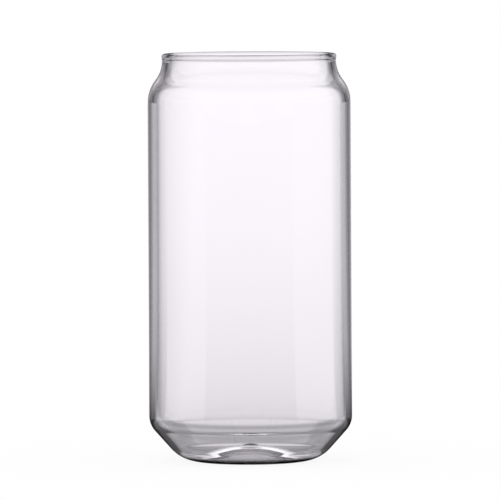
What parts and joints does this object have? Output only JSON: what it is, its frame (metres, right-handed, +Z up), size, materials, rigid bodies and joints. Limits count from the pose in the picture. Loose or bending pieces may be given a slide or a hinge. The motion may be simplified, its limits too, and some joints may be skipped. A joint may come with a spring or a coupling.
{
  "type": "can shaped glass",
  "caption": "Clear drinking glass in the shape of a can: straight wall, curved shoulder to a narrower neck, rounded lip, chamfered foot and pushed-up base.",
  "frame": {"origin": "middle of the plane that the foot stands on, on the glass's axis", "axes": "+Z up along the axis, towards the mouth; X and Y are any two directions across, because the glass is round"},
  "size_m": [0.075, 0.075, 0.1505],
  "materials": {
    "clear_glass": "fire-polished, clear, very faint lavender grey"
  },
  "bodies": {
    "root": {"can_glass": "clear_glass"}
  },
  "joints": []
}
